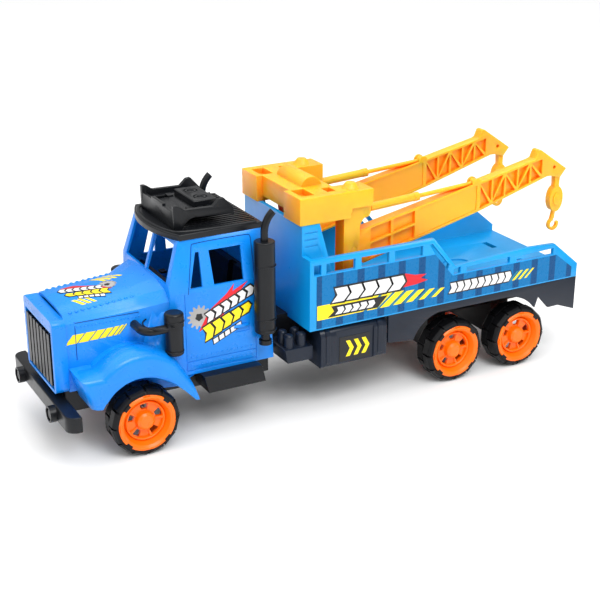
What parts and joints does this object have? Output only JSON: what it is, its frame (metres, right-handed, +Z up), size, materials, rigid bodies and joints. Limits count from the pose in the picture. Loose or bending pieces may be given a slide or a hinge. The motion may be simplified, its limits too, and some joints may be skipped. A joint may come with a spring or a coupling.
{
  "type": "toy tow truck",
  "caption": "Toy tow truck with a hooded cab, railed flat bed, tower and a pair of swinging, lifting crane booms with struts and hanging hooks.",
  "frame": {"origin": "centre of the bounding box's base, on the floor under the truck", "axes": "+X towards the nose, +Y to the truck's left, +Z up"},
  "size_m": [0.516, 0.1502, 0.2046],
  "materials": {
    "cab_blue_plastic": "glossy azure moulding",
    "bed_blue_plastic": "glossy cyan-blue moulding",
    "crane_yellow_plastic": "satin orange-yellow moulding",
    "orange_plastic": "satin orange moulding",
    "black_plastic": "satin black moulding",
    "slate_plastic": "satin dark slate moulding",
    "tyre_plastic": "hollow moulded tyre, matt",
    "steel": "bright wire and screws",
    "printed_sticker": "printed film"
  },
  "bodies": {
    "root": {"chassis_frame": "black_plastic", "chassis_screws": "steel", "front_bumper": "black_plastic", "fog_lamps": "black_plastic", "cab_body": "cab_blue_plastic", "radiator_grille": "black_plastic", "cab_interior": "black_plastic", "steering_wheel": "black_plastic", "roof_panel": "black_plastic", "roof_rack": "black_plastic", "roof_light_box": "black_plastic", "bed_body": "bed_blue_plastic", "mast_head": "crane_yellow_plastic", "side_step_left": "black_plastic", "side_step_right": "black_plastic", "fuel_tank_left": "slate_plastic", "fuel_tank_right": "slate_plastic", "battery_box_left": "slate_plastic", "battery_box_right": "slate_plastic", "air_cleaner_left": "black_plastic", "air_cleaner_right": "black_plastic", "exhaust_stack_left": "black_plastic", "exhaust_stack_right": "black_plastic", "rear_skirt_left": "slate_plastic", "rear_skirt_right": "slate_plastic", "bed_sticker_left": "printed_sticker", "bed_sticker_right": "printed_sticker", "door_sticker_left": "printed_sticker", "door_sticker_right": "printed_sticker", "tank_sticker_left": "printed_sticker", "tank_sticker_right": "printed_sticker"},
    "front_wheels": {"axle_front": "steel", "rim_front_left": "orange_plastic", "rim_front_right": "orange_plastic", "tyre_front_left": "tyre_plastic", "tyre_front_right": "tyre_plastic"},
    "middle_wheels": {"axle_middle": "steel", "rim_middle_left": "orange_plastic", "rim_middle_right": "orange_plastic", "tyre_middle_left": "tyre_plastic", "tyre_middle_right": "tyre_plastic"},
    "rear_wheels": {"axle_rear": "steel", "rim_rear_left": "orange_plastic", "rim_rear_right": "orange_plastic", "tyre_rear_left": "tyre_plastic", "tyre_rear_right": "tyre_plastic"},
    "left_post": {"swing_post_left": "crane_yellow_plastic"},
    "left_boom": {"boom_left": "crane_yellow_plastic"},
    "left_barrel": {"cylinder_barrel_left": "crane_yellow_plastic"},
    "left_rod": {"cylinder_rod_left": "crane_yellow_plastic"},
    "left_hook": {"hook_left": "crane_yellow_plastic"},
    "right_post": {"swing_post_right": "crane_yellow_plastic"},
    "right_boom": {"boom_right": "crane_yellow_plastic"},
    "right_barrel": {"cylinder_barrel_right": "crane_yellow_plastic"},
    "right_rod": {"cylinder_rod_right": "crane_yellow_plastic"},
    "right_hook": {"hook_right": "crane_yellow_plastic"}
  },
  "joints": [
    {"name": "front_wheels_spin", "type": "hinge", "parent": "root", "child": "front_wheels", "pos_m": [0.183, 0, 0.03], "axis": [0, 1, 0], "continuous": true},
    {"name": "middle_wheels_spin", "type": "hinge", "parent": "root", "child": "middle_wheels", "pos_m": [-0.1226, 0, 0.03], "axis": [0, 1, 0], "continuous": true},
    {"name": "rear_wheels_spin", "type": "hinge", "parent": "root", "child": "rear_wheels", "pos_m": [-0.1955, 0, 0.03], "axis": [0, 1, 0], "continuous": true},
    {"name": "left_crane_swing", "type": "hinge", "parent": "root", "child": "left_post", "pos_m": [-0.0205, 0.044, 0.13], "axis": [0, 0, 1], "range_deg": [-9, 9]},
    {"name": "left_boom_lift", "type": "hinge", "parent": "left_post", "child": "left_boom", "pos_m": [-0.0205, 0.044, 0.141], "axis": [0, 1, 0], "range_deg": [-4, 15]},
    {"name": "left_barrel_tilt", "type": "hinge", "parent": "left_post", "child": "left_barrel", "pos_m": [-0.0324, 0.044, 0.1746], "axis": [0, 1, 0], "range_deg": [-5.1, 17.77]},
    {"name": "left_rod_slide", "type": "slide", "parent": "left_barrel", "child": "left_rod", "axis": [-0.9981, 0, 0.0623], "range_m": [-0.0084, 0.00246]},
    {"name": "left_hook_swing", "type": "hinge", "parent": "left_boom", "child": "left_hook", "pos_m": [-0.245, 0.044, 0.18], "axis": [0, 1, 0], "range_deg": [-28, 28]},
    {"name": "right_crane_swing", "type": "hinge", "parent": "root", "child": "right_post", "pos_m": [-0.0205, -0.044, 0.13], "axis": [0, 0, 1], "range_deg": [-9, 9]},
    {"name": "right_boom_lift", "type": "hinge", "parent": "right_post", "child": "right_boom", "pos_m": [-0.0205, -0.044, 0.141], "axis": [0, 1, 0], "range_deg": [-4, 15]},
    {"name": "right_barrel_tilt", "type": "hinge", "parent": "right_post", "child": "right_barrel", "pos_m": [-0.0324, -0.044, 0.1746], "axis": [0, 1, 0], "range_deg": [-5.1, 17.77]},
    {"name": "right_rod_slide", "type": "slide", "parent": "right_barrel", "child": "right_rod", "axis": [-0.9981, 0, 0.0623], "range_m": [-0.0084, 0.00246]},
    {"name": "right_hook_swing", "type": "hinge", "parent": "right_boom", "child": "right_hook", "pos_m": [-0.245, -0.044, 0.18], "axis": [0, 1, 0], "range_deg": [-28, 28]}
  ],
  "couplings": [
    {"joint": "left_barrel_tilt", "follows": "left_boom_lift", "ratio": 1.1512},
    {"joint": "left_rod_slide", "follows": "left_boom_lift", "m_per_rad": -0.030954},
    {"joint": "right_barrel_tilt", "follows": "right_boom_lift", "ratio": 1.1512},
    {"joint": "right_rod_slide", "follows": "right_boom_lift", "m_per_rad": -0.030954}
  ]
}
